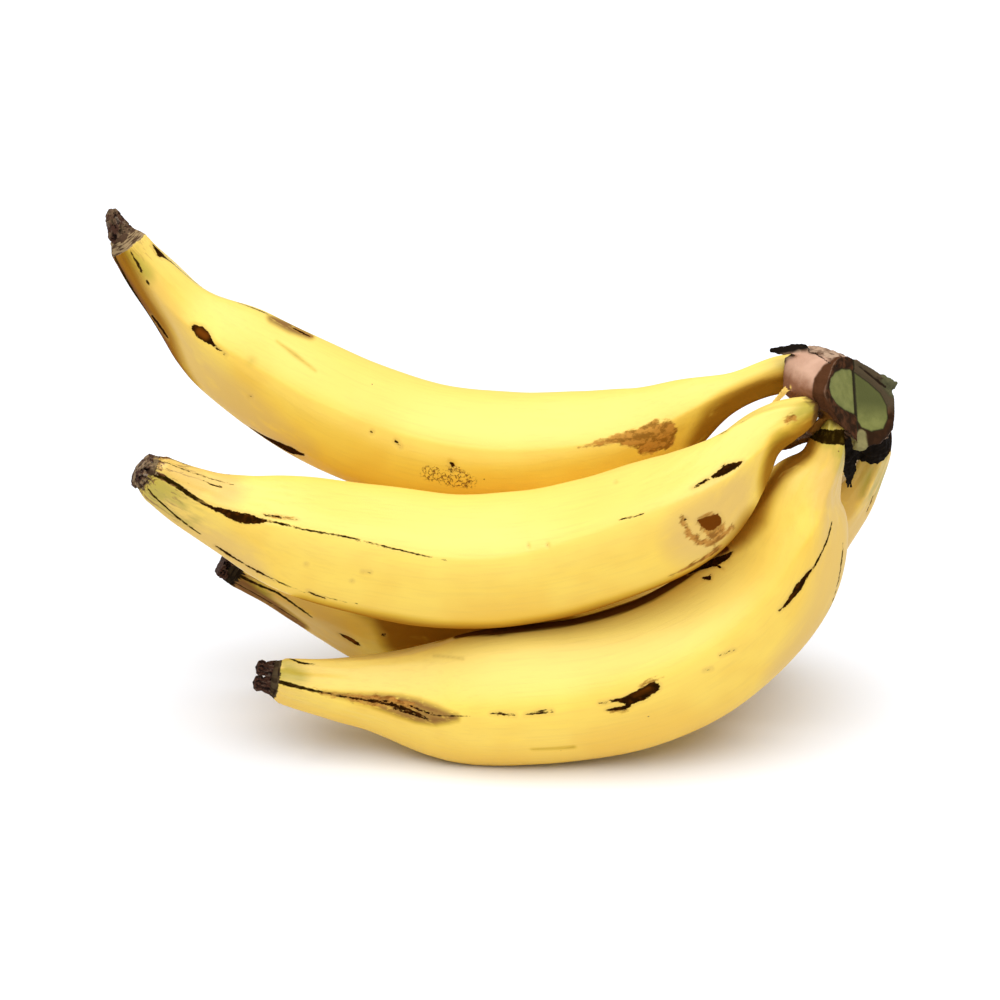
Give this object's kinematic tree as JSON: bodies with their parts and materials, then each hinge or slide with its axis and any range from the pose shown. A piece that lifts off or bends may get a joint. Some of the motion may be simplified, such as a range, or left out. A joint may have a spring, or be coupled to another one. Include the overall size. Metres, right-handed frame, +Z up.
{
  "type": "plantain",
  "caption": "Hand of ripe yellow plantains joined at a cut crown, long curved five-sided fruits with dried blossom ends, lying on a surface.",
  "frame": {"origin": "on the surface that the hand lies on, under the middle of the hand", "axes": "+X from the fruits' tips towards the crown, -Y the side the picture shows, +Z up"},
  "size_m": [0.2752, 0.1022, 0.1878],
  "materials": {
    "peel": "ripe yellow peel with brown scars, satin",
    "crown": "cut crown, brown skin and pale green cut faces, matte",
    "dried_blossom": "dry, dark brown and fibrous, matte"
  },
  "bodies": {
    "root": {"finger_upper_rear": "peel", "finger_middle_front": "peel", "finger_lower_front": "peel", "finger_lower_rear": "peel", "crown": "crown", "blossom_end_upper_rear": "dried_blossom", "blossom_end_middle_front": "dried_blossom", "blossom_end_lower_front": "dried_blossom", "blossom_end_lower_rear": "dried_blossom"}
  },
  "joints": []
}
